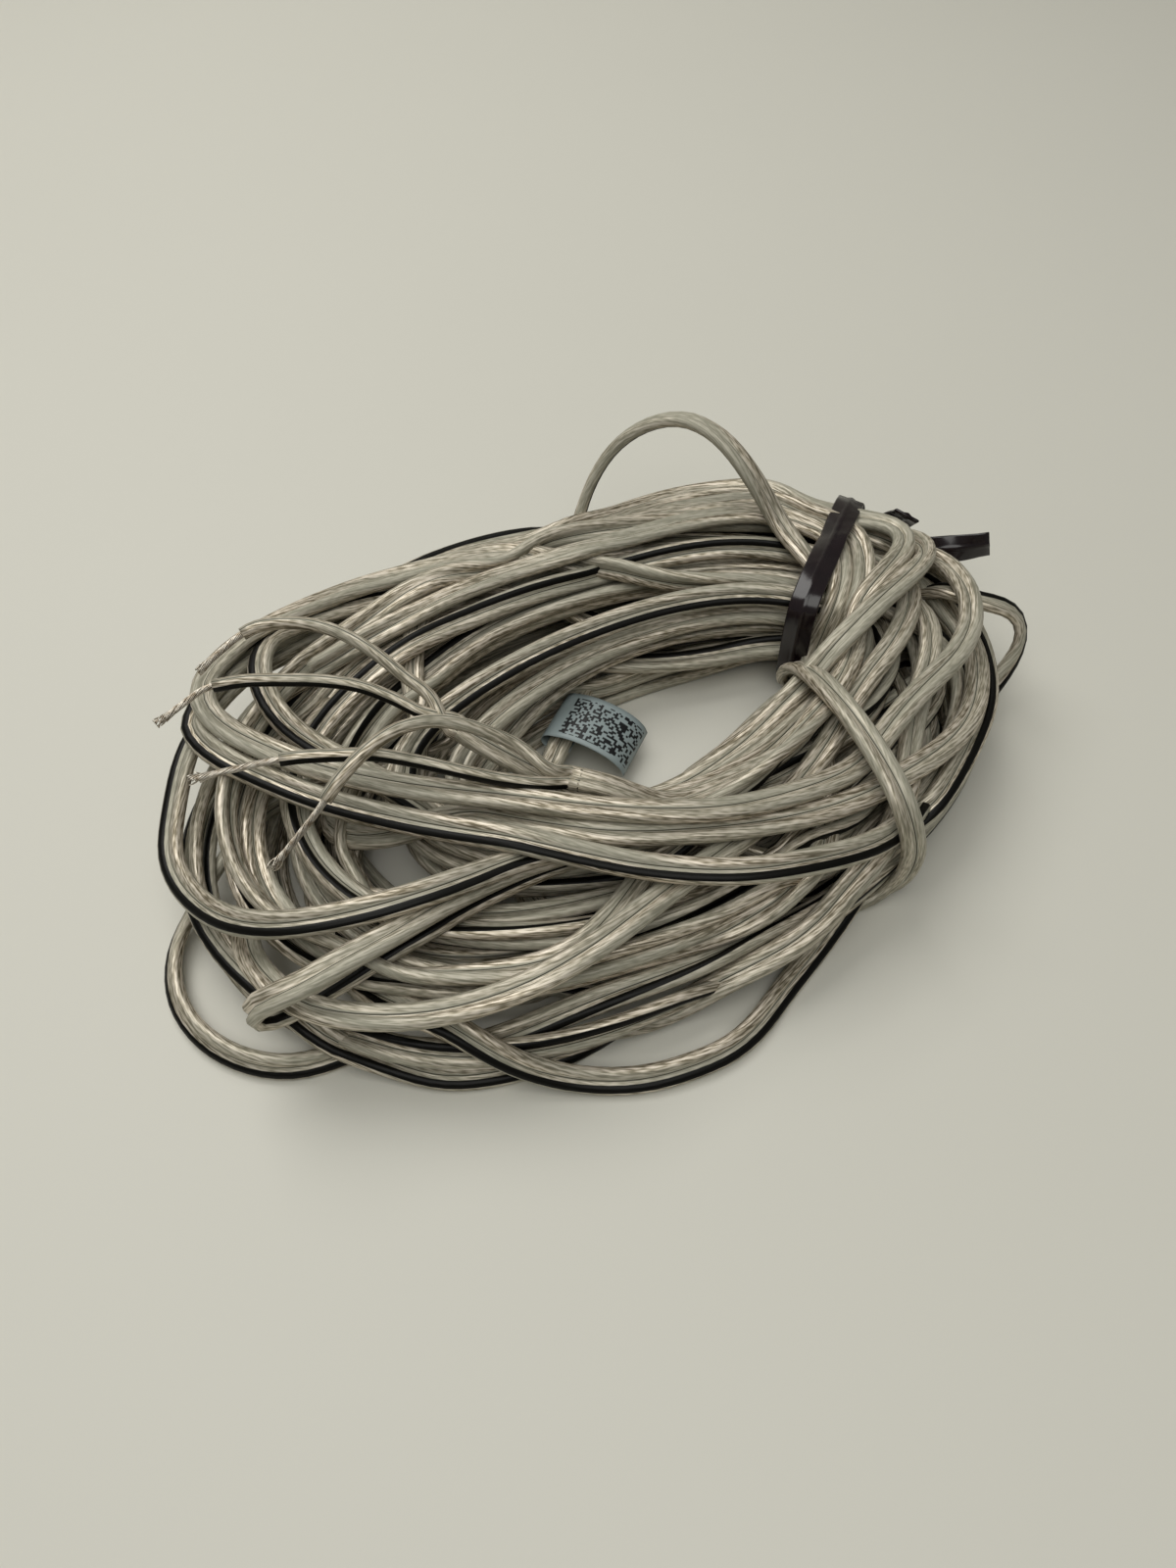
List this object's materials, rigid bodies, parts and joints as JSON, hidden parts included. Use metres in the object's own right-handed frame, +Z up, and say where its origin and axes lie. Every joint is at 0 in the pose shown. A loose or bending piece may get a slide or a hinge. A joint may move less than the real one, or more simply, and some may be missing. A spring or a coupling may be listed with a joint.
{
  "type": "coil of twin loudspeaker cable",
  "caption": "Hand-wound coil of clear twin loudspeaker cable, bound with a twist tie, with split and stripped ends and a label tape on a strand.",
  "frame": {"origin": "on the table, under the middle of the whole coil with its loose loops", "axes": "+X along the coil's longest side, from the stripped ends towards the tie; +Y towards the back of the coil, where the top loop stands; +Z up"},
  "size_m": [0.1777, 0.1405, 0.0441],
  "materials": {
    "clear_pvc": "clear PVC over tinned strands, soft gloss",
    "bare_strands": "tinned copper strands, satin",
    "tie_plastic": "dark plum-black, glossy",
    "label_tape": "pale blue-grey film, soft sheen"
  },
  "bodies": {
    "root": {"coil_turns": "clear_pvc", "wrapped_turn": "clear_pvc", "end_a_twin": "clear_pvc", "end_b_twin": "clear_pvc", "hole_strand": "clear_pvc", "fold_run": "clear_pvc", "front_loop": "clear_pvc", "left_loop": "clear_pvc", "right_loop": "clear_pvc", "top_loop": "clear_pvc", "end_a_plain_lead": "clear_pvc", "end_b_plain_lead": "clear_pvc", "end_a_striped_lead": "clear_pvc", "end_b_striped_lead": "clear_pvc", "end_a_plain_strands": "bare_strands", "end_a_striped_strands": "bare_strands", "end_b_plain_strands": "bare_strands", "end_b_striped_strands": "bare_strands", "tie_ribbon": "tie_plastic", "label_tape": "label_tape"}
  },
  "joints": []
}
